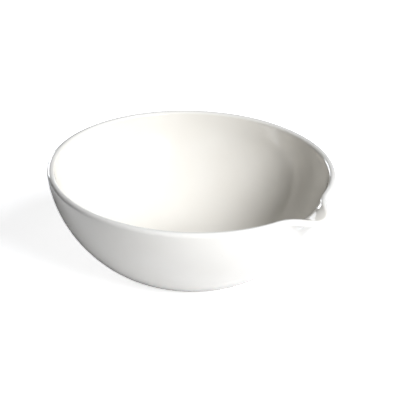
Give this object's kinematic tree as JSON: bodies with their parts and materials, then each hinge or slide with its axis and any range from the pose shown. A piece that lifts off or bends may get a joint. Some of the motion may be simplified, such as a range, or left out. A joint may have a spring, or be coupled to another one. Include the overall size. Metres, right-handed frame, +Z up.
{
  "type": "evaporating dish",
  "caption": "Shallow round porcelain dish on a small flat foot, with a rounded edge and one pressed pouring lip, for drying liquids over heat.",
  "frame": {"origin": "centre of the foot's flat resting face, on the bowl's axis", "axes": "+Z up along the bowl's axis, +X out through the middle of the pouring lip"},
  "size_m": [0.0949, 0.0902, 0.034],
  "materials": {
    "glazed_porcelain": "thin clear glaze over white porcelain, bare and matte only on the ground foot"
  },
  "bodies": {
    "root": {"dish": "glazed_porcelain"}
  },
  "joints": []
}
